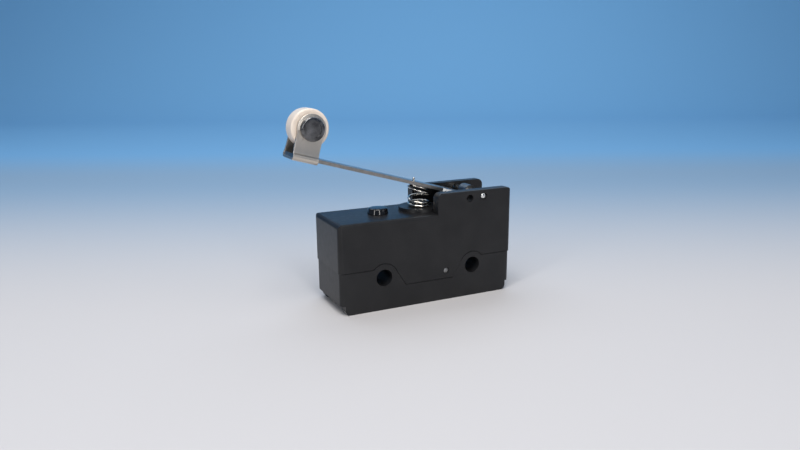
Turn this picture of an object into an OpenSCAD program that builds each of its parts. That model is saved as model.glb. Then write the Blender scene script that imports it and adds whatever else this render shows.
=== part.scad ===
// Lever micro switch: a snap-action basic switch with a spring-returned roller lever.
// Millimetres, +Z up. The origin is midway between the two mounting holes, at mid-depth.
// The lever hinges in the two ears at the +X end, and its roller stands past the -X end.

/* [Case] */
// Length of the case along X
case_l = 49.2; // [48.8:0.1:51]
// Depth of the case along Y
case_w = 17.45; // [17.2:0.05:18.4]
// Height of the top face above the mounting hole line
case_top = 14.6; // [14.4:0.1:15.4]
// Depth of the end walls below the hole line
end_drop = 5.9; // [5.7:0.1:6.2]
// Depth of the front and rear skirts below the hole line
skirt_drop = 8.4; // [8.2:0.1:9]
// Thickness of the case walls at the front and rear
wall = 2.5; // [2.2:0.1:2.7]
// Radius of the upright corners
corner_r = 1.2; // [0.8:0.1:1.6]
// Radius of the long top edges
edge_r = 0.9; // [0.4:0.1:1.2]

/* [Hinge ears] */
// Height of the ears above the top face
ear_h = 5.3; // [5.1:0.1:5.8]
// Length of the ears from the +X end
ear_l = 22.2; // [21:0.1:22.6]
// Width of the slot between the ears
slot_w = 12; // [11.6:0.1:12.4]
// Radius of the upper corners of the ears
ear_r = 1.5; // [0.8:0.1:2]
// Diameter of the second, empty hinge hole
spare_hole_d = 1.9; // [1.6:0.1:2.2]

/* [Mounting holes] */
// Distance between the two mounting holes
hole_pitch = 25.4; // [25.2:0.1:25.6]
// Diameter of the mounting holes
hole_d = 4.3; // [4.1:0.1:4.5]

/* [Seam] */
// Height of the seam above the hole line at both ends
seam_z = 2.3; // [2.1:0.1:2.6]
// Radius of the saddles over the mounting holes
saddle_r = 3.6; // [3.4:0.1:3.7]
// Width of the cover tongue between the saddles
tongue_w = 13.5; // [13:0.1:13.8]
// Depth of the cover tongue below the hole line
tongue_drop = 2.65; // [2.4:0.1:2.8]

/* [Lever] */
// Rise of the lever above level at rest, in degrees
lever_tilt = 16.1; // [15.5:0.1:16.4]
// Thickness of the lever sheet
lever_t = 0.85; // [0.8:0.05:0.9]
// Width of the lever at the hinge
lever_base_w = 10.8; // [10:0.1:11]
// Width of the lever arm
lever_arm_w = 7.2; // [7:0.1:7.4]
// Distance from the hinge pin to the roller axle along the lever
roller_reach = 47.95; // [46:0.1:50]
// Height of the roller axle above the hinge pin, square to the lever
roller_rise = 6.04; // [5.9:0.01:6.3]

/* [Roller] */
// Diameter of the roller
roller_d = 9.5; // [9.2:0.1:9.8]
// Width of the roller
roller_w = 4.6; // [4.2:0.1:4.8]
// Outer width across the bracket ears
bracket_w = 6.9; // [6.8:0.1:7.1]
// Thickness of the bracket sheet
bracket_t = 0.6; // [0.5:0.05:0.65]
// Diameter of the rivet heads
rivet_head_d = 5.8; // [5.4:0.1:6.2]

/* [Lever spring] */
// Outer diameter of the coil spring
spring_d = 6.2; // [6:0.1:6.4]
// Diameter of the spring wire
spring_wire = 0.6; // [0.5:0.05:0.65]
// Turns of the spring from its seat to the lever
spring_turns = 3.6; // [3.5:0.05:3.8]

/* [Terminals] */
// Nominal diameter of the terminal screws
screw_d = 4; // [3.8:0.1:4]
// Diameter of the terminal screw heads
screw_head_d = 7.2; // [6.8:0.1:7.4]
// Distance from the ends of the case to the outer terminal screws
terminal_inset = 5.7; // [5.6:0.1:5.8]

/* [Hidden] */
$fn = 64;

// Length of a cutting body that passes right through the part
through = 120;
// How far a cutting body runs past the face it cuts
overrun = 1;
// Small overlap that joins two forms into one
lap = 0.01;
// Radial play of a pin that turns in a hole
play = 0.05;

// Case
half_l = case_l / 2;
half_w = case_w / 2;
inner_w = case_w - 2 * wall;
end_wall = 2.4;
roof_t = 2;
roof_under = case_top - roof_t;
base_end_inset = 0.2;
base_side_inset = 0.1;
skirt_inset = 1.2;
skirt_corner_r = 1.4;
core_drop = 1;
hole_x = hole_pitch / 2;
saddle_gap = 0.03;
seam_groove = 0.16;
seam_groove_t = 0.35;
saddle_angle = 31;

// Ears and hinge
ear_top = case_top + ear_h;
ear_edge_r = 0.6;
pin_r = 0.9;
pin_inset = 8.61;
pin_rise = 3.59;
pin_x = half_l - pin_inset;
pin_z = case_top + pin_rise;
pin_chamfer = 0.25;
pin_recess = 0.15;
spare_inset = 12.82;
spare_rise = 3.37;
spare_x = half_l - spare_inset;
spare_z = case_top + spare_rise;

// Spring seat on the roof
seat_x = 1.45;
seat_r = 5.5;
seat_h = 0.9;
seat_top = case_top + seat_h;
stud_r = 2.2;
stud_h = 1;

// Plug in the roof
plug_x = -10.5;
plug_r = 2.7;
plug_h = 1.6;
plug_stem_r = 1.7;
plug_edge = 0.55;

// Closing pin through the cover tongues
closing_r = 0.7;
closing_x = 4.84;
closing_z = -0.53;
closing_play = 0.02;

// Lever sheet, measured square to the lever from the hinge axis
bore_r = pin_r + play;
knuckle_r = bore_r + lever_t;
knuckle_w = 3.6;
sheet_mid = -1;
sheet_top = sheet_mid + lever_t / 2;
sheet_under = sheet_mid - lever_t / 2;
joggle_start = 1.4;
joggle_l = 1;
base_end = 7.9;
taper_l = 1.6;
side_back = 1.9;
tail_l = 5.2;
tail_w = 4.4;

// Bracket and roller, in the lever frame
hem_gap = 0.05;
hem_half = lever_arm_w / 2 + hem_gap + bracket_t;
hem_under = sheet_under - bracket_t;
hem_top = -0.1;
hem_r = (hem_top - hem_under) / 2;
hem_mid = (hem_top + hem_under) / 2;
shoulder_top = 1.25;
shoulder_in = 0.25;
stem_l = 6.4;
bracket_head_r = 3.6;
lever_short = 0.2;
lever_l = roller_reach + stem_l / 2 - lever_short;
ear_half = bracket_w / 2;
axle_r = 1.5;
axle_play = 0.05;
rivet_hole_play = 0.02;
rivet_head_t = 1.25;
rivet_edge = 0.35;
rivet_dish_r = 2;
rivet_dish = 0.2;
roller_edge = 0.5;
roller_hub_r = 2.4;
roller_hub_gap = 0.12;

// Lever spring
spring_r = (spring_d - spring_wire) / 2;
spring_low = seat_top + spring_wire / 2;
spring_high = pin_z + (pin_x - seat_x) * tan(lever_tilt) + (sheet_under - spring_wire / 2) / cos(lever_tilt);
spring_end_angle = 212.5;
spring_steps = 36;
spring_sides = 12;
spring_rise = [[0, 0], [0.125, 0], [0.28, 0.13], [0.43, 0.19], [0.66, 0.74], [0.85, 1], [1, 1]];
spring_tail = 1.9;
spring_tail_hole_r = 0.45;

// Terminals and screws
sheet_t = 0.8;
plate_z = -3.6;
plate_half = 4.2;
plate_w = 9;
riser_w = 5;
riser_inset = 3.3;
terminal_x = half_l - terminal_inset;
riser_x = half_l - riser_inset;
closed_riser_x = 7;
pocket_w = 10;
pocket_gap = 0.3;
pocket_end = 1.6;
screw_up = 4;
screw_head_t = 2.4;
screw_slot_w = 0.8;
screw_slot_t = 1;
screw_play = 0.15;
washer_w = 7.6;
washer_t = 0.8;
riser_play = 0.05;

// Snap blade and contacts
foot_top = 6.3;
foot_l = 7.5;
blade_gap = 0.08;
blade_t = 0.3;
blade_w = 5;
blade_fixed_inset = 5.6;
blade_free_inset = 4.2;
blade_x0 = blade_fixed_inset - half_l;
blade_x1 = half_l - blade_free_inset;
blade_under = foot_top + blade_gap;
blade_top = blade_under + blade_t;
blade_slot_w = 0.6;
blade_slot_y = 1.1;
blade_slot_x0 = -11;
blade_slot_x1 = 5;
anchor_inset = 7.6;
anchor_x = anchor_inset - half_l;
anchor_r = 0.8;
anchor_head_r = 1.6;
anchor_head_t = 0.6;
anchor_play = 0.1;
anchor_lift = 0.15;
contact_x = 9;
contact_r = 1.6;
contact_t = 0.6;
contact_stem_r = 0.8;
contact_gap = 0.05;
contact_travel = 0.5;
fixed_contact_t = 0.8;
fixed_contact_r = 1.8;
arm_w = 7;
closed_arm_top = blade_under - contact_t - contact_gap - fixed_contact_t;
open_arm_under = blade_top + contact_t + contact_travel + contact_gap + fixed_contact_t;
arm_end = 2;
closed_arm_x1 = contact_x + arm_end;
open_arm_x0 = contact_x - arm_end;
contact_tail = 0.3;

// Plunger beside the hinge, under the tail of the lever
plunger_offset = 3.21;
plunger_x = pin_x + plunger_offset;
plunger_r = 1.4;
plunger_gap = 0.05;
plunger_flange_r = 2.2;
plunger_flange_t = 1;
plunger_rise = 0.9;
plunger_arm_hole_r = 1.8;
plunger_stop = roof_under - plunger_rise;
dome_z = pin_z - (knuckle_r + plunger_r + plunger_gap + (plunger_x - pin_x) * sin(lever_tilt)) / cos(lever_tilt);

// A rectangle about the middle with round corners
module round_rect(w, h, r) {
    square([w - 2 * r, h], center = true);
    square([w, h - 2 * r], center = true);
    for (x = [-1, 1], y = [-1, 1])
        translate([x * (w / 2 - r), y * (h / 2 - r)]) circle(r);
}

// A band from far below up to a given height, with round upper corners
module topped(w, top, r) {
    translate([-w / 2, -through]) square([w, through + top - r]);
    translate([-w / 2 + r, -through]) square([w - 2 * r, through + top]);
    for (x = [-1, 1]) translate([x * (w / 2 - r), top - r]) circle(r);
}

// Extrudes an outline drawn in X and Z along the whole depth
module along_y(w = through) {
    rotate([90, 0, 0]) linear_extrude(height = w, center = true) children();
}

// Extrudes an outline drawn in Y and Z along the whole length
module along_x(l = through) {
    rotate([90, 0, 90]) linear_extrude(height = l, center = true) children();
}

// A round bar along Y at a place in X and Z
module bar_y(x, z, r, w = through) {
    translate([x, 0, z]) rotate([90, 0, 0]) cylinder(r = r, h = w, center = true);
}

// A box given by its two ends in X and Z and its width about the middle in Y
module slab(x0, x1, z0, z1, w) {
    translate([x0, -w / 2, z0]) cube([x1 - x0, w, z1 - z0]);
}

// Places things drawn along the lever: X runs to the roller, Z square up, from the hinge axis
module in_lever() {
    translate([pin_x, 0, pin_z]) rotate([0, lever_tilt, 0]) rotate([0, 0, 180]) children();
}

// Outer form of the case above its lower edge, with the two ears not yet parted
module case_outline() {
    intersection() {
        linear_extrude(height = through, center = true) round_rect(case_l, case_w, corner_r);
        union() {
            intersection() {
                along_y() topped(case_l, case_top, corner_r);
                along_x() topped(case_w, case_top, edge_r);
            }
            intersection() {
                along_y() translate([half_l - ear_l / 2, 0]) topped(ear_l, ear_top, ear_r);
                along_x() topped(case_w, ear_top, ear_edge_r);
            }
        }
    }
}

// Side outline of the base below the seam; the saddles grow by a gap, and the whole edge by a rise
module seam_region(gap, rise = 0) {
    end_x = half_l + overrun;
    flare_x = hole_x - saddle_r * cos(saddle_angle);
    flare_z = saddle_r * sin(saddle_angle);
    translate([0, rise]) polygon([
        [-end_x, -through], [-end_x, seam_z], [-hole_x, seam_z], [-flare_x, flare_z],
        [-tongue_w / 2, -tongue_drop], [tongue_w / 2, -tongue_drop],
        [flare_x, flare_z], [hole_x, seam_z], [end_x, seam_z], [end_x, -through]
    ]);
    for (x = [-hole_x, hole_x]) translate([x, 0]) circle(saddle_r + gap + rise);
}

// Side outline of the base down to its end walls and skirts
module base_side() {
    end_x = half_l - base_end_inset;
    skirt_x = end_x - skirt_inset;
    translate([-end_x, -end_drop]) square([2 * end_x, through]);
    translate([0, -skirt_drop + through / 2]) round_rect(2 * skirt_x, through, skirt_corner_r);
}

module case_cover() color([0.13, 0.13, 0.14]) {
    difference() {
        union() {
            case_outline();
            translate([seat_x, 0, roof_under]) cylinder(r = seat_r, h = seat_top - roof_under);
            translate([seat_x, 0, roof_under]) cylinder(r = stud_r, h = seat_top + stud_h - roof_under);
        }
        along_y() seam_region(saddle_gap);
        difference() {
            along_y() seam_region(saddle_gap, seam_groove);
            slab(-half_l + seam_groove_t, half_l - seam_groove_t, -through, through, case_w - 2 * seam_groove_t);
        }
        slab(-half_l + end_wall, half_l - end_wall, -through, roof_under, inner_w);
        difference() {
            slab(half_l - ear_l - overrun, half_l + overrun, case_top, ear_top + overrun, slot_w);
            translate([seat_x, 0, 0]) cylinder(r = seat_r, h = seat_top);
            translate([seat_x, 0, 0]) cylinder(r = stud_r, h = seat_top + stud_h);
        }
        bar_y(pin_x, pin_z, bore_r);
        bar_y(spare_x, spare_z, spare_hole_d / 2);
        bar_y(closing_x, closing_z, closing_r + closing_play);
        translate([plunger_x, 0, 0]) cylinder(r = plunger_r + play, h = through);
        translate([plug_x, 0, 0]) cylinder(r = plug_stem_r + closing_play, h = through);
    }
}

module base() color([0.15, 0.15, 0.16]) {
    difference() {
        union() {
            intersection() {
                linear_extrude(height = through, center = true)
                    round_rect(case_l - 2 * base_end_inset, case_w - 2 * base_side_inset, corner_r);
                along_y() intersection() {
                    base_side();
                    seam_region(0);
                }
            }
            slab(-hole_x, hole_x, -tongue_drop - core_drop, seam_z, inner_w - 2 * play);
        }
        slab(-through, through, -through, -end_drop, inner_w);
        slab(-plate_half - pocket_gap, closed_riser_x + sheet_t + pocket_gap, -through, plate_z, pocket_w);
        slab(closed_riser_x - riser_play, closed_riser_x + sheet_t + riser_play, plate_z - lap, through,
            riser_w + 2 * riser_play);
        for (side = [0, 1]) mirror([side, 0, 0]) {
            slab(terminal_x - plate_half - pocket_gap, half_l - pocket_end, -through, plate_z, pocket_w);
            slab(riser_x - riser_play, riser_x + sheet_t + riser_play, plate_z - lap, through,
                riser_w + 2 * riser_play);
            bar_y(hole_x, 0, hole_d / 2);
        }
        for (x = [-terminal_x, 0, terminal_x])
            translate([x, 0, plate_z - lap]) cylinder(r = screw_d / 2 + screw_play, h = screw_up + screw_play);
        bar_y(closing_x, closing_z, closing_r + closing_play);
    }
}

module closing_pin() color([0.75, 0.75, 0.75]) bar_y(closing_x, closing_z, closing_r, case_w - pin_recess);

module top_plug() color([0.1, 0.1, 0.11]) {
    translate([plug_x, 0, roof_under]) cylinder(r = plug_stem_r, h = roof_t + lap);
    translate([plug_x, 0, case_top]) rotate_extrude() {
        square([plug_r, plug_h - plug_edge]);
        square([plug_r - plug_edge, plug_h]);
        translate([plug_r - plug_edge, plug_h - plug_edge]) circle(plug_edge);
    }
}

module hinge_pin() color([0.85, 0.85, 0.84]) {
    half = half_w - pin_recess;
    translate([pin_x, 0, pin_z]) rotate([90, 0, 0]) rotate_extrude() polygon([
        [0, -half], [pin_r - pin_chamfer, -half], [pin_r, -half + pin_chamfer],
        [pin_r, half - pin_chamfer], [pin_r - pin_chamfer, half], [0, half]
    ]);
}

module plunger() color([0.35, 0.1, 0.08]) translate([plunger_x, 0, 0]) {
    foot_z = blade_top + contact_gap;
    translate([0, 0, foot_z]) cylinder(r = plunger_r, h = dome_z - foot_z);
    translate([0, 0, dome_z]) sphere(plunger_r);
    translate([0, 0, plunger_stop - plunger_flange_t]) cylinder(r = plunger_flange_r, h = plunger_flange_t);
}

module lever() color([0.8, 0.78, 0.75]) in_lever() difference() {
    union() {
        intersection() {
            along_y() polygon([
                [-tail_l, -knuckle_r], [joggle_start, -knuckle_r], [joggle_start + joggle_l, sheet_under],
                [lever_l, sheet_under], [lever_l, sheet_top], [joggle_start + joggle_l, sheet_top],
                [joggle_start, -bore_r], [-tail_l, -bore_r]
            ]);
            linear_extrude(height = through, center = true) union() {
                translate([-tail_l, -tail_w / 2]) square([tail_l, tail_w]);
                polygon([
                    [-side_back, -lever_base_w / 2], [base_end, -lever_base_w / 2],
                    [base_end + taper_l, -lever_arm_w / 2], [lever_l, -lever_arm_w / 2],
                    [lever_l, lever_arm_w / 2], [base_end + taper_l, lever_arm_w / 2],
                    [base_end, lever_base_w / 2], [-side_back, lever_base_w / 2]
                ]);
            }
        }
        bar_y(0, 0, knuckle_r, knuckle_w);
    }
    bar_y(0, 0, bore_r, knuckle_w + overrun);
    rotate([0, 0, -180]) rotate([0, -lever_tilt, 0]) translate([-pin_x, 0, -pin_z])
        translate(spring_point(1)) cylinder(r = spring_tail_hole_r, h = 2 * spring_tail, center = true);
}

// A point on the middle of the spring wire, from the seat at 0 to the lever at 1
function spring_point(t) =
    let (a = spring_end_angle + 360 * spring_turns * (1 - t),
        x = spring_r * cos(a),
        top = spring_high - x * tan(lever_tilt))
    [seat_x + x, spring_r * sin(a), spring_low + (top - spring_low) * lookup(t, spring_rise)];

// The round section of the wire at that point, standing across the coil
function spring_ring(t) =
    let (a = spring_end_angle + 360 * spring_turns * (1 - t), p = spring_point(t))
    [for (i = [0 : spring_sides - 1]) let (b = 360 * i / spring_sides)
        p + spring_wire / 2 * [cos(b) * cos(a), cos(b) * sin(a), sin(b)]];

module lever_spring() color([0.85, 0.83, 0.8]) {
    rings = ceil(spring_turns * spring_steps);
    sides = spring_sides;
    points = [for (k = [0 : rings]) each spring_ring(k / rings)];
    skin = [for (k = [0 : rings - 1], i = [0 : sides - 1])
        [k * sides + i, (k + 1) * sides + i, (k + 1) * sides + (i + 1) % sides, k * sides + (i + 1) % sides]];
    first = [for (i = [0 : sides - 1]) i];
    last = [for (i = [sides - 1 : -1 : 0]) rings * sides + i];
    polyhedron(points, concat([first], skin, [last]));
    translate(spring_point(1)) sphere(spring_wire / 2, $fn = spring_sides);
    translate(spring_point(1)) cylinder(r = spring_wire / 2, h = spring_tail, $fn = spring_sides);
}

// Section of the bracket sheet: a hem round the lever, shoulders and two ears
module bracket_section() {
    top = roller_rise + bracket_head_r + overrun;
    difference() {
        union() {
            translate([0, hem_mid]) square([2 * (hem_half - hem_r), 2 * hem_r], center = true);
            for (s = [-1, 1]) translate([s * (hem_half - hem_r), hem_mid]) circle(hem_r);
            polygon([
                [-hem_half + shoulder_in, hem_mid], [hem_half - shoulder_in, hem_mid], [ear_half, shoulder_top],
                [ear_half, top], [-ear_half, top], [-ear_half, shoulder_top]
            ]);
        }
        translate([0, sheet_mid]) square([lever_arm_w + 2 * hem_gap, lever_t], center = true);
        polygon([
            [-ear_half, sheet_mid], [ear_half, sheet_mid], [ear_half - bracket_t, shoulder_top],
            [ear_half - bracket_t, top + overrun], [-ear_half + bracket_t, top + overrun],
            [-ear_half + bracket_t, shoulder_top]
        ]);
    }
}

module roller_bracket() color([0.75, 0.72, 0.69]) in_lever() difference() {
    intersection() {
        along_x() bracket_section();
        along_y() union() {
            translate([roller_reach - stem_l / 2, -through]) square([stem_l, through + roller_rise]);
            translate([roller_reach, roller_rise]) circle(bracket_head_r);
        }
    }
    bar_y(roller_reach, roller_rise, axle_r + rivet_hole_play);
}

// Places a turned piece on the roller axle, with its own axis along Z
module at_axle() {
    in_lever() translate([roller_reach, 0, roller_rise]) rotate([90, 0, 0]) children();
}

module roller() color([0.93, 0.89, 0.82]) at_axle() {
    hub = ear_half - bracket_t - roller_hub_gap;
    difference() {
        rotate_extrude($fn = 96) {
            translate([0, -roller_w / 2]) square([roller_d / 2 - roller_edge, roller_w]);
            translate([0, -roller_w / 2 + roller_edge]) square([roller_d / 2, roller_w - 2 * roller_edge]);
            for (s = [-1, 1])
                translate([roller_d / 2 - roller_edge, s * (roller_w / 2 - roller_edge)]) circle(roller_edge);
            translate([0, -hub]) square([roller_hub_r, 2 * hub]);
        }
        cylinder(r = axle_r + axle_play, h = through, center = true);
    }
}

module roller_rivet() color([0.45, 0.44, 0.43]) at_axle() {
    cylinder(r = axle_r, h = bracket_w, center = true);
    for (side = [0, 1]) mirror([0, 0, side]) translate([0, 0, ear_half]) rotate_extrude() difference() {
        union() {
            square([rivet_head_d / 2, rivet_head_t - rivet_edge]);
            square([rivet_head_d / 2 - rivet_edge, rivet_head_t]);
            translate([rivet_head_d / 2 - rivet_edge, rivet_head_t - rivet_edge]) circle(rivet_edge);
        }
        translate([0, rivet_head_t - rivet_dish]) square([rivet_dish_r, overrun]);
    }
}

module common_terminal() color("goldenrod") mirror([1, 0, 0]) difference() {
    union() {
        slab(terminal_x - plate_half, riser_x + sheet_t, plate_z - sheet_t, plate_z, plate_w);
        slab(riser_x, riser_x + sheet_t, plate_z - sheet_t, foot_top, riser_w);
        slab(riser_x + sheet_t - foot_l, riser_x + sheet_t, foot_top - sheet_t, foot_top, riser_w);
    }
    screw_bore(terminal_x);
    translate([-anchor_x, 0, 0]) cylinder(r = anchor_r + closing_play, h = through);
}

module closed_terminal() color("goldenrod") difference() {
    union() {
        slab(-plate_half, closed_riser_x + sheet_t, plate_z - sheet_t, plate_z, plate_w);
        slab(closed_riser_x, closed_riser_x + sheet_t, plate_z - sheet_t, closed_arm_top, riser_w);
        slab(closed_riser_x, closed_arm_x1, closed_arm_top - sheet_t, closed_arm_top, riser_w);
    }
    screw_bore(0);
    translate([contact_x, 0, 0]) cylinder(r = contact_stem_r + closing_play, h = through);
}

module open_terminal() color("goldenrod") difference() {
    union() {
        slab(terminal_x - plate_half, riser_x + sheet_t, plate_z - sheet_t, plate_z, plate_w);
        slab(riser_x, riser_x + sheet_t, plate_z - sheet_t, open_arm_under + sheet_t, riser_w);
        slab(open_arm_x0, riser_x + sheet_t, open_arm_under, open_arm_under + sheet_t, arm_w);
    }
    screw_bore(terminal_x);
    translate([plunger_x, 0, 0]) cylinder(r = plunger_arm_hole_r, h = through);
    translate([contact_x, 0, 0]) cylinder(r = contact_stem_r + closing_play, h = through);
}

// The tapped hole of a terminal plate
module screw_bore(x) {
    translate([x, 0, plate_z - 2 * sheet_t]) cylinder(r = screw_d / 2 + closing_play, h = 3 * sheet_t);
}

module terminal_screws() color([0.8, 0.8, 0.78]) {
    head_z = plate_z - sheet_t - washer_t;
    for (x = [-terminal_x, 0, terminal_x]) translate([x, 0, head_z]) difference() {
        union() {
            cylinder(r = screw_d / 2, h = plate_z + screw_up - head_z - lap);
            translate([0, 0, -screw_head_t]) cylinder(r = screw_head_d / 2, h = screw_head_t);
        }
        for (turn = [0, 90]) rotate(turn) translate([0, 0, -screw_head_t])
            cube([screw_head_d * 0.7, screw_slot_w, 2 * screw_slot_t], center = true);
    }
}

module terminal_washers() color([0.82, 0.82, 0.8]) {
    for (x = [-terminal_x, 0, terminal_x]) translate([x, 0, plate_z - sheet_t - washer_t]) difference() {
        translate([-washer_w / 2, -washer_w / 2, 0]) cube([washer_w, washer_w, washer_t]);
        cylinder(r = screw_d / 2 + screw_play, h = through, center = true);
    }
}

module moving_blade() color([0.72, 0.5, 0.3]) difference() {
    slab(blade_x0, blade_x1, blade_under, blade_top, blade_w);
    for (y = [-blade_slot_y, blade_slot_y])
        translate([blade_slot_x0, y - blade_slot_w / 2, 0])
            cube([blade_slot_x1 - blade_slot_x0, blade_slot_w, through]);
    translate([anchor_x, 0, 0]) cylinder(r = anchor_r + anchor_play, h = through);
    translate([contact_x, 0, 0]) cylinder(r = contact_stem_r + closing_play, h = through);
}

module moving_contact() color([0.88, 0.88, 0.86]) translate([contact_x, 0, 0]) {
    translate([0, 0, blade_under - contact_t]) cylinder(r = contact_r, h = contact_t);
    translate([0, 0, blade_under - lap]) cylinder(r = contact_stem_r, h = blade_t + 2 * lap);
    translate([0, 0, blade_top]) cylinder(r = contact_r, h = contact_t);
}

module blade_rivet() color("goldenrod") translate([anchor_x, 0, 0]) {
    foot_under = foot_top - sheet_t;
    head_z = blade_top + anchor_lift;
    translate([0, 0, foot_under - anchor_head_t]) cylinder(r = anchor_head_r, h = anchor_head_t);
    translate([0, 0, foot_under - lap]) cylinder(r = anchor_r, h = head_z - foot_under + 2 * lap);
    translate([0, 0, head_z]) cylinder(r = anchor_head_r, h = anchor_head_t);
}

module closed_contact() color([0.88, 0.88, 0.86]) translate([contact_x, 0, closed_arm_top]) {
    cylinder(r = fixed_contact_r, h = fixed_contact_t);
    translate([0, 0, -sheet_t - contact_tail]) cylinder(r = contact_stem_r, h = sheet_t + contact_tail + lap);
}

module open_contact() color([0.88, 0.88, 0.86]) translate([contact_x, 0, open_arm_under]) {
    translate([0, 0, -fixed_contact_t]) cylinder(r = fixed_contact_r, h = fixed_contact_t);
    translate([0, 0, -lap]) cylinder(r = contact_stem_r, h = sheet_t + contact_tail + lap);
}

case_cover();
base();
closing_pin();
top_plug();
hinge_pin();
plunger();
lever();
lever_spring();
roller_bracket();
roller();
roller_rivet();
common_terminal();
closed_terminal();
open_terminal();
terminal_screws();
terminal_washers();
moving_blade();
moving_contact();
blade_rivet();
closed_contact();
open_contact();
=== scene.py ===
"""Looks of the lever micro switch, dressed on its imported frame.

Lengths of the part are written in millimetres and turned into metres by MM; the floor and the
lights are in metres. Every place on the part is taken from the boxes of its nodes.
"""
import math

import bpy
from mathutils import Matrix, Vector


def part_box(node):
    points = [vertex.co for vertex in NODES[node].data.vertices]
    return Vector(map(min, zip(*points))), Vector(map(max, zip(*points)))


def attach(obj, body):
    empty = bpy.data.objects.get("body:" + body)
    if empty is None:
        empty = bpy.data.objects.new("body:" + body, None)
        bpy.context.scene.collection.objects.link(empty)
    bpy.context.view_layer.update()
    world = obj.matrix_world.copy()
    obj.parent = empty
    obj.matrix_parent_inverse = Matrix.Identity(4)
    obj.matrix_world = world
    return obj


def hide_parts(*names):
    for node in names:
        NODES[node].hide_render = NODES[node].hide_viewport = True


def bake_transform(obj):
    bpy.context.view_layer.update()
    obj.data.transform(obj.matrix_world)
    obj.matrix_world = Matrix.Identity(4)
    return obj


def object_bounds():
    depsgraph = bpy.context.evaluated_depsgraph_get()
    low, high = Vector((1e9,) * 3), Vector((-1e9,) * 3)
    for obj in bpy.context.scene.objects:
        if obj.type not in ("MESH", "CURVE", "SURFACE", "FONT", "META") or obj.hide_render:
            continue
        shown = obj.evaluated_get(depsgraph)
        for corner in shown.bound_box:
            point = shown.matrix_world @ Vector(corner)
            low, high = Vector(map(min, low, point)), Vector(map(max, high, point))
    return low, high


MM = 0.001
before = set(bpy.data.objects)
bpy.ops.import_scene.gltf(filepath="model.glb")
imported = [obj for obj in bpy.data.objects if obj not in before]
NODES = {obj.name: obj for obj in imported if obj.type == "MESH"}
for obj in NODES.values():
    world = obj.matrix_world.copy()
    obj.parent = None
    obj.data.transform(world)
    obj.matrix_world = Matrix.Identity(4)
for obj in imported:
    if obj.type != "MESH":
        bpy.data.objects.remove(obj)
cad_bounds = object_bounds()

# ---------------------------------------------------------------- materials


def new_material(name, **settings):
    """A Principled material with plain settings; returns the material and its node tree."""
    material = bpy.data.materials.new(name)
    material.use_nodes = True
    shader = material.node_tree.nodes["Principled BSDF"]
    for socket, value in settings.items():
        shader.inputs[socket.replace("_", " ")].default_value = value
    return material, material.node_tree, shader


def noise(tree, scale, detail=4.0, stretch=(1, 1, 1)):
    """A noise texture in object space, stretched along the axes."""
    place = tree.nodes.new("ShaderNodeTexCoord")
    mapping = tree.nodes.new("ShaderNodeMapping")
    mapping.inputs["Scale"].default_value = stretch
    texture = tree.nodes.new("ShaderNodeTexNoise")
    texture.inputs["Scale"].default_value = scale
    texture.inputs["Detail"].default_value = detail
    tree.links.new(place.outputs["Object"], mapping.inputs["Vector"])
    tree.links.new(mapping.outputs["Vector"], texture.inputs["Vector"])
    return texture.outputs["Fac"]


def ramp(tree, value, low, high, start=0.35, end=0.65):
    """Colours a texture value from low to high."""
    node = tree.nodes.new("ShaderNodeValToRGB")
    node.color_ramp.elements[0].position = start
    node.color_ramp.elements[1].position = end
    node.color_ramp.elements[0].color = (*low, 1)
    node.color_ramp.elements[1].color = (*high, 1)
    tree.links.new(value, node.inputs["Fac"])
    return node.outputs["Color"]


def spread(tree, value, low, high, start=0.3, end=0.7):
    """Maps a value between start and end to the range from low to high."""
    node = tree.nodes.new("ShaderNodeMapRange")
    node.inputs["From Min"].default_value = start
    node.inputs["From Max"].default_value = end
    node.inputs["To Min"].default_value = low
    node.inputs["To Max"].default_value = high
    tree.links.new(value, node.inputs["Value"])
    return node.outputs["Result"]


def axis_value(tree, source, axis):
    """One axis of the place or the normal of a surface point, in object space."""
    place = tree.nodes.new("ShaderNodeTexCoord")
    split = tree.nodes.new("ShaderNodeSeparateXYZ")
    tree.links.new(place.outputs[source], split.inputs["Vector"])
    return split.outputs[axis]


def bump(tree, shader, value, strength, distance):
    """Raises the surface by a texture value."""
    node = tree.nodes.new("ShaderNodeBump")
    node.inputs["Strength"].default_value = strength
    node.inputs["Distance"].default_value = distance
    tree.links.new(value, node.inputs["Height"])
    tree.links.new(node.outputs["Normal"], shader.inputs["Normal"])


# Noise scales, in cells per metre, and depths of relief in millimetres
MOTTLE_SCALE = 160
GLOSS_SCALE = 700
CUT_SCALE = 900
GRAIN_DEPTH = 0.01
SCRATCH_DEPTH = 0.002


def moulding(name, low, high, rough_low, rough_high,
             grain=2600, grain_strength=0.1, ior=1.5):
    """Pressed thermoset or plastic: faint mottling, fine skin texture and uneven gloss."""
    material, tree, shader = new_material(name, IOR=ior)
    colour = ramp(tree, noise(tree, MOTTLE_SCALE), low, high)
    tree.links.new(colour, shader.inputs["Base Color"])
    gloss = spread(tree, noise(tree, GLOSS_SCALE, 3), rough_low, rough_high)
    tree.links.new(gloss, shader.inputs["Roughness"])
    bump(tree, shader, noise(tree, grain, 2), grain_strength, GRAIN_DEPTH * MM)
    return material


def metal(name, low, high, rough_low, rough_high,
          stretch=(1, 1, 1), scratch=1800, strength=0.05, tone=220):
    """Bare metal: tone and gloss vary a little, with fine marks drawn out along one axis."""
    material, tree, shader = new_material(name, Metallic=1.0)
    colour = ramp(tree, noise(tree, tone, 4, stretch), low, high)
    tree.links.new(colour, shader.inputs["Base Color"])
    marks = noise(tree, scratch, 3, stretch)
    tree.links.new(spread(tree, marks, rough_low, rough_high), shader.inputs["Roughness"])
    bump(tree, shader, marks, strength, SCRATCH_DEPTH * MM)
    return material


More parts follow.
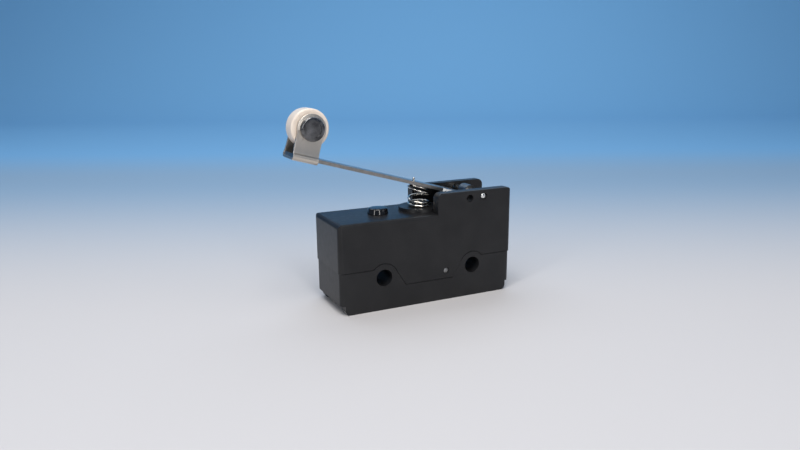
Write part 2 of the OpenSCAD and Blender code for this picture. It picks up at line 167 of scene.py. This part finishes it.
def cut_edges(material, low, high, rough):
    """Gives the faces that look along Y the bare look of the cut edges of a sheet."""
    tree = material.node_tree
    shader = tree.nodes["Principled BSDF"]
    sideways = tree.nodes.new("ShaderNodeMath")
    sideways.operation = "ABSOLUTE"
    tree.links.new(axis_value(tree, "Normal", "Y"), sideways.inputs[0])
    share = spread(tree, sideways.outputs["Value"], 0, 1, start=0.75, end=0.97)

    def mix_in(data_type, kind, socket):
        """Mixes a second value into a socket; returns the input for the second value."""
        mix = tree.nodes.new("ShaderNodeMix")
        mix.data_type = data_type
        first, second = [slot for slot in mix.inputs if slot.type == kind][-2:]
        tree.links.new(share, mix.inputs[0])
        tree.links.new(shader.inputs[socket].links[0].from_socket, first)
        result = [slot for slot in mix.outputs if slot.type == kind][0]
        tree.links.new(result, shader.inputs[socket])
        return second

    bare = ramp(tree, noise(tree, CUT_SCALE, 3), low, high)
    tree.links.new(bare, mix_in("RGBA", "RGBA", "Base Color"))
    mix_in("FLOAT", "VALUE", "Roughness").default_value = rough


CASE_BLACK = moulding(
    "case_black", (0.009, 0.009, 0.01), (0.013, 0.013, 0.014), 0.33, 0.38, ior=1.36)
BASE_BLACK = moulding(
    "base_black", (0.01, 0.01, 0.011), (0.014, 0.014, 0.015), 0.36, 0.41, ior=1.36)
PLUG_BLACK = moulding(
    "plug_black", (0.004, 0.004, 0.005), (0.007, 0.007, 0.008), 0.05, 0.09, 1200, 0.02)
PLUNGER_RED = moulding("plunger_red", (0.10, 0.015, 0.012), (0.14, 0.022, 0.017), 0.35, 0.45)
ROLLER_CREAM = moulding(
    "roller_cream", (0.74, 0.64, 0.545), (0.78, 0.69, 0.60), 0.28, 0.36, 1800, 0.06)
LEVER_STEEL = metal(
    "lever_steel", (0.22, 0.225, 0.23), (0.25, 0.255, 0.26), 0.27, 0.33, (0.03, 1, 1))
cut_edges(LEVER_STEEL, (0.25, 0.24, 0.225), (0.31, 0.295, 0.28), 0.34)
BRACKET_STEEL = metal(
    "bracket_steel", (0.54, 0.495, 0.44), (0.59, 0.54, 0.48), 0.28, 0.35, (1, 1, 0.08))
PIN_STEEL = metal("pin_steel", (0.60, 0.60, 0.59), (0.70, 0.70, 0.68), 0.16, 0.26)
PIN_DULL = metal("pin_dull", (0.22, 0.22, 0.22), (0.30, 0.30, 0.30), 0.3, 0.4)
SPRING_STEEL = metal("spring_steel", (0.62, 0.58, 0.52), (0.74, 0.70, 0.64), 0.12, 0.2)
RIVET_STEEL = metal(
    "rivet_steel", (0.06, 0.06, 0.063), (0.24, 0.24, 0.245), 0.1, 0.22,
    scratch=1400, strength=0.12, tone=420)
BRASS = metal("terminal_brass", (0.60, 0.42, 0.17), (0.72, 0.52, 0.24), 0.22, 0.36)
SCREW_ZINC = metal("screw_zinc", (0.56, 0.56, 0.54), (0.68, 0.67, 0.64), 0.24, 0.36)
BLADE_BRONZE = metal(
    "blade_bronze", (0.56, 0.31, 0.17), (0.68, 0.40, 0.23), 0.2, 0.3, (0.08, 1, 1))
SILVER = metal("contact_silver", (0.74, 0.74, 0.72), (0.84, 0.84, 0.82), 0.2, 0.3)

# Finish of each solid: material, and width of its softened edges in millimetres
FINISH = {
    "case_cover": (CASE_BLACK, 0.16),
    "base": (BASE_BLACK, 0.16),
    "plunger": (PLUNGER_RED, 0.08),
    "lever": (LEVER_STEEL, 0),
    "roller_bracket": (BRACKET_STEEL, 0.08),
    "roller": (ROLLER_CREAM, 0),
    "roller_rivet": (RIVET_STEEL, 0),
    "common_terminal": (BRASS, 0.08),
    "closed_terminal": (BRASS, 0.08),
    "open_terminal": (BRASS, 0.08),
    "terminal_screws": (SCREW_ZINC, 0.12),
    "terminal_washers": (SCREW_ZINC, 0.08),
    "moving_blade": (BLADE_BRONZE, 0),
    "moving_contact": (SILVER, 0.06),
    "blade_rivet": (BRASS, 0.06),
    "closed_contact": (SILVER, 0.06),
    "open_contact": (SILVER, 0.06),
    "lever_spring": (SPRING_STEEL, 0),
}
WELD_REACH = 0.002
BEVEL_ANGLE = math.radians(32)
CORNER_ANGLE = math.radians(38)


def dress_solids():
    """Gives each solid its material and softens its edges."""
    for name, (material, edge) in FINISH.items():
        solid = NODES[name]
        solid.data.materials.clear()
        solid.data.materials.append(material)
        soften(solid, edge)


def soften(piece, edge):
    """Smooth shading up to the corners, with a narrow rounding where an edge width is given."""
    weld = piece.modifiers.new("weld", "WELD")
    weld.merge_threshold = WELD_REACH * MM
    for face in piece.data.polygons:
        face.use_smooth = True
    if edge:
        bevel = piece.modifiers.new("edges", "BEVEL")
        bevel.width = edge * MM
        bevel.segments = 3
        bevel.limit_method = "ANGLE"
        bevel.angle_limit = BEVEL_ANGLE
        bevel.use_clamp_overlap = True
        bevel.face_strength_mode = "FSTR_ALL"
    split = piece.modifiers.new("corners", "EDGE_SPLIT")
    split.split_angle = CORNER_ANGLE
    normals = piece.modifiers.new("normals", "WEIGHTED_NORMAL")
    normals.weight = 100
    normals.keep_sharp = True
    normals.use_face_influence = edge > 0


dress_solids()

# ---------------------------------------------------------------- turned pieces


def smooth_piece(name, vertices, faces):
    """A smooth-shaded mesh object in the scene."""
    mesh = bpy.data.meshes.new(name)
    mesh.from_pydata(vertices, [], faces)
    for face in mesh.polygons:
        face.use_smooth = True
    piece = bpy.data.objects.new(name, mesh)
    bpy.context.scene.collection.objects.link(piece)
    return piece


def turned(name, profile, axis, segments=96):
    """A turned piece: a profile of radius and height along an axis, given as a matrix."""
    vertices = []
    faces = []
    rings = [(r, h) for r, h in profile if r > 0]
    for r, h in rings:
        for index in range(segments):
            turn = 2 * math.pi * index / segments
            vertices.append(axis @ Vector((r * math.cos(turn), r * math.sin(turn), h)))
    for ring in range(len(rings) - 1):
        for index in range(segments):
            right = (index + 1) % segments
            faces.append((ring * segments + index, ring * segments + right,
                          (ring + 1) * segments + right, (ring + 1) * segments + index))
    low, high = len(vertices), len(vertices) + 1
    vertices += [axis @ Vector((0, 0, profile[0][1])), axis @ Vector((0, 0, profile[-1][1]))]
    last = (len(rings) - 1) * segments
    for index in range(segments):
        right = (index + 1) % segments
        faces.append((low, right, index))
        faces.append((high, last + index, last + right))
    return smooth_piece(name, vertices, faces)


def along_y(place):
    """The axis of a piece that lies along Y through a place."""
    return Matrix.Translation(place) @ Matrix.Rotation(math.pi / 2, 4, "X")


def domed_end(r, half, dome):
    """Profile of a slightly domed pin end, from the middle outwards."""
    fall = 2.4
    shares = (0, 0.2, 0.4, 0.55, 0.7, 0.8, 0.88, 0.95, 1)
    return [(r * share, half - dome * share ** fall) for share in shares]


def make_pin(name, node, dome, material):
    """A plain pin across the case, its ends softly domed from being set."""
    low, high = (Vector(corner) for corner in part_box(node))
    middle = (low + high) / 2
    end = domed_end((high.x - low.x) / 2, (high.y - low.y) / 2, dome * MM)
    pin = turned(name, [(r, -h) for r, h in end] + end[::-1], along_y(middle))
    pin.data.materials.append(material)
    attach(pin, "case")
    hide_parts(node)


def make_plug():
    """The plug in the roof: a stem in the hole, and a button with a draft and a round edge."""
    low, high = (Vector(corner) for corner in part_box("top_plug"))
    middle = (low + high) / 2
    r, height = (high.x - low.x) / 2, high.z - low.z
    stem_r, stem_chamfer, seat, lip = 1.7 * MM, 0.2 * MM, 2.0 * MM, 0.1 * MM
    edge, crown, draft, edge_steps = 0.45 * MM, 0.06 * MM, math.radians(11), 8
    taper = (height - seat - crown - edge) * math.tan(draft)
    profile = [(0, 0), (stem_r - stem_chamfer, 0), (stem_r, stem_chamfer), (stem_r, seat)]
    profile += [(r - lip, seat), (r, seat + lip)]
    for step in range(edge_steps + 1):
        turn = draft + (math.pi / 2 - draft) * step / edge_steps
        inwards = taper + edge * (math.cos(draft) - math.cos(turn))
        profile.append((r - inwards, height - crown - edge * (1 - math.sin(turn))))
    top_r = r - edge
    profile += [(top_r * 0.6, height - crown * 0.3), (top_r * 0.25, height), (0, height)]
    plug = turned("plug_button", profile, Matrix.Translation((middle.x, middle.y, low.z)))
    plug.data.materials.append(PLUG_BLACK)
    soften(plug, 0)
    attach(plug, "case")
    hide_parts("top_plug")


HINGE_PIN_DOME = 0.3
CASE_PIN_DOME = 0.16

make_pin("pin_of_hinge", "hinge_pin", HINGE_PIN_DOME, PIN_STEEL)
make_pin("pin_of_case", "closing_pin", CASE_PIN_DOME, PIN_DULL)
make_plug()

# ---------------------------------------------------------------- lever spring

LEVER_TILT = math.radians(16.1)
WIRE_R = 0.3
WIRE_SIDES = 16
WIRE_DOME = (0.45, 0.8, 0.98)
SPRING_TURNS = 3.6
STEPS_PER_TURN = 64
# Where the coil ends under the lever, seen from above, and the length of the hooked tail
SPRING_END = math.radians(212.5)
SPRING_TAIL = 1.9
# Share of the height reached along the wire: closed turns below, open above
SPRING_RISE = ((0, 0), (0.125, 0), (0.28, 0.13), (0.43, 0.19), (0.66, 0.74), (0.85, 1), (1, 1))


def lookup(table, value):
    """Reads a table of pairs with straight lines between them."""
    for (x0, y0), (x1, y1) in zip(table, table[1:]):
        if value <= x1:
            return y0 + (y1 - y0) * (value - x0) / (x1 - x0)
    return table[-1][1]


def eased(table, value, reach=0.04):
    """The table read as a mean over a short reach, which rounds its corners."""
    reads = [lookup(table, min(1, max(0, value + reach * step / 3))) for step in range(-3, 4)]
    return sum(reads) / len(reads)


def spring_path():
    """The wire's points, from the seat up to its end hooked through the lever.

    Also returns the middle of the lowest turn, and the height from there to the highest turn.
    """
    low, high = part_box("lever_spring")
    middle_x = (low[0] + high[0]) / 2
    coil_r = (high[0] - low[0]) / 2 - WIRE_R * MM
    bottom = low[2] + WIRE_R * MM
    top_end = high[2] - SPRING_TAIL * MM
    top_middle = top_end + coil_r * math.cos(SPRING_END) * math.tan(LEVER_TILT)
    points = []
    steps = int(SPRING_TURNS * STEPS_PER_TURN)
    for step in range(steps + 1):
        t = step / steps
        turn = SPRING_END + 2 * math.pi * SPRING_TURNS * (1 - t)
        x, y = coil_r * math.cos(turn), coil_r * math.sin(turn)
        top = top_middle - x * math.tan(LEVER_TILT)
        points.append(Vector((middle_x + x, y, bottom + (top - bottom) * eased(SPRING_RISE, t))))
    foot = points[-1]
    points = points[:-3]
    bend = [points[-1].lerp(foot, share) for share in (0.5, 0.85)]
    tail = [foot + Vector((0, 0, SPRING_TAIL * MM * share)) for share in (0.08, 0.25, 0.6, 1.0)]
    return points + bend + tail, Vector((middle_x, 0, bottom)), top_middle - bottom


def tube(name, points, radius):
    """A round wire along points, with domed ends."""
    sides = WIRE_SIDES
    frames = []
    side = None
    for index, point in enumerate(points):
        ahead = points[min(index + 1, len(points) - 1)]
        behind = points[max(index - 1, 0)]
        along = (ahead - behind).normalized()
        if side is None:
            side = along.cross(Vector((0, 0, 1))).normalized()
        side = (side - along * side.dot(along)).normalized()
        frames.append((point, along, side, along.cross(side)))
    rings = []
    first, last = frames[0], frames[-1]
    for share in reversed(WIRE_DOME):
        rings.append((first, -radius * share, radius * math.sqrt(1 - share * share)))
    rings += [(place, 0.0, radius) for place in frames]
    for share in WIRE_DOME:
        rings.append((last, radius * share, radius * math.sqrt(1 - share * share)))
    vertices = []
    for (point, along, side, across), shift, ring_r in rings:
        for index in range(sides):
            turn = 2 * math.pi * index / sides
            outwards = side * math.cos(turn) + across * math.sin(turn)
            vertices.append(point + along * shift + ring_r * outwards)
    faces = [tuple(range(sides))]
    for ring in range(len(rings) - 1):
        for index in range(sides):
            right = (index + 1) % sides
            faces.append((ring * sides + right, ring * sides + index,
                          (ring + 1) * sides + index, (ring + 1) * sides + right))
    faces.append(tuple((len(rings) - 1) * sides + index for index in reversed(range(sides))))
    return smooth_piece(name, vertices, faces)


def make_spring():
    """The lever spring: it stands on the case and its top turn follows the lever."""
    points, seat, height = spring_path()
    spring = tube("spring_wire", points, WIRE_R * MM)
    spring.data.materials.append(SPRING_STEEL)
    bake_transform(spring)
    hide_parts("lever_spring")


make_spring()

# ---------------------------------------------------------------- floor, light and camera


def area_light(name, place, size, power, colour, target=(0, 0, 0.015)):
    """A soft rectangular light that faces the part."""
    light = bpy.data.lights.new(name, "AREA")
    light.shape = "RECTANGLE"
    light.size, light.size_y = size
    light.energy = power
    light.color = colour
    lamp = bpy.data.objects.new(name, light)
    lamp.location = place
    lamp.rotation_euler = (Vector(target) - Vector(place)).to_track_quat("-Z", "Y").to_euler()
    bpy.context.scene.collection.objects.link(lamp)


# The sweep's turn to face the camera, and its colours from the part to the far end
SWEEP_TURN = math.radians(-25.4)
FLOOR_PALE = (0.555, 0.535, 0.535)
FLOOR_BETWEEN = ((0.25, (0.26, 0.385, 0.52)), (0.4, (0.20, 0.44, 0.70)))
# The far end is painted brighter than the 0.4 stop to make up for the lights falling off on the
# upright wall: painted light.
FAR_WALL_PAINTED_BRIGHT = (0.26, 0.57, 0.88)


def floor_material():
    """Pale near the part and blue behind it; the far wall is painted brighter to make up for the
    lights falling off there.
    """
    material, tree, shader = new_material("floor_pale", Roughness=0.7)
    shader.inputs["Specular IOR Level"].default_value = 0.2
    depth = spread(tree, axis_value(tree, "Object", "Y"), 0, 1, start=-0.02, end=0.8)
    colour = ramp(tree, depth, FLOOR_PALE, FAR_WALL_PAINTED_BRIGHT, 0.0, 1.0)
    stops = colour.node.color_ramp
    stops.interpolation = "EASE"
    for share, tint in FLOOR_BETWEEN:
        stops.elements.new(share).color = (*tint, 1)
    tree.links.new(colour, shader.inputs["Base Color"])
    return material


def make_floor():
    """A wide plain sweep under and behind the part."""
    low = cad_bounds[0][2]
    reach, side, back, rise, bend, steps = 1.2, 2.6, 0.55, 0.9, 0.25, 12
    rows = [(-reach, 0.0), (back, 0.0)]
    for step in range(1, steps + 1):
        turn = math.pi / 2 * step / steps
        rows.append((back + bend * math.sin(turn), bend * (1 - math.cos(turn))))
    rows.append((back + bend, bend + rise))
    vertices = [(x, y, low + z) for y, z in rows for x in (-side, side)]
    faces = [(2 * i, 2 * i + 1, 2 * i + 3, 2 * i + 2) for i in range(len(rows) - 1)]
    floor = smooth_piece("floor", vertices, faces)
    floor.rotation_euler.z = SWEEP_TURN
    floor.data.materials.append(floor_material())


def make_lights():
    """Key from above, two upright strips in front, a fill, and a cool light from behind."""
    area_light("key", (-0.12, -0.2, 0.45), (0.3, 0.3), 1.9, (1.0, 0.97, 0.93))
    area_light("strip_left", (-0.44, -0.23, 0.24), (0.08, 0.42), 0.65, (1.0, 0.98, 0.95))
    area_light("strip_right", (-0.04, -0.5, 0.24), (0.08, 0.42), 0.8, (1.0, 0.98, 0.95))
    area_light("fill", (0.4, -0.35, 0.25), (0.3, 0.3), 0.3, (1.0, 0.98, 0.96))
    area_light("sky", (0.05, 0.35, 0.60), (0.9, 0.5), 2.6, (0.86, 0.93, 1.0))
    world = bpy.data.worlds.new("studio")
    world.use_nodes = True
    background = world.node_tree.nodes["Background"]
    background.inputs["Color"].default_value = (0.36, 0.5, 0.72, 1)
    background.inputs["Strength"].default_value = 0.3
    bpy.context.scene.world = world
    bpy.context.scene.view_settings.view_transform = "Standard"


def make_camera():
    """The photograph's viewing angle: from the front, a little left and above."""
    place = Vector((-78.70, -157.07, 52.67)) * MM
    forward = Vector((0.416574, 0.878434, -0.234137))
    right = Vector((0.902601, -0.430387, -0.008825))
    up = Vector((0.108521, 0.207656, 0.972164))
    camera = bpy.data.cameras.new("camera")
    camera.lens = 30.70
    camera.sensor_width = 36
    camera.clip_start = 0.005
    eye = bpy.data.objects.new("camera", camera)
    turn = Matrix((right, up, -forward)).transposed()
    eye.matrix_world = Matrix.Translation(place) @ turn.to_4x4()
    bpy.context.scene.collection.objects.link(eye)
    bpy.context.scene.camera = eye


make_floor()
make_lights()
make_camera()
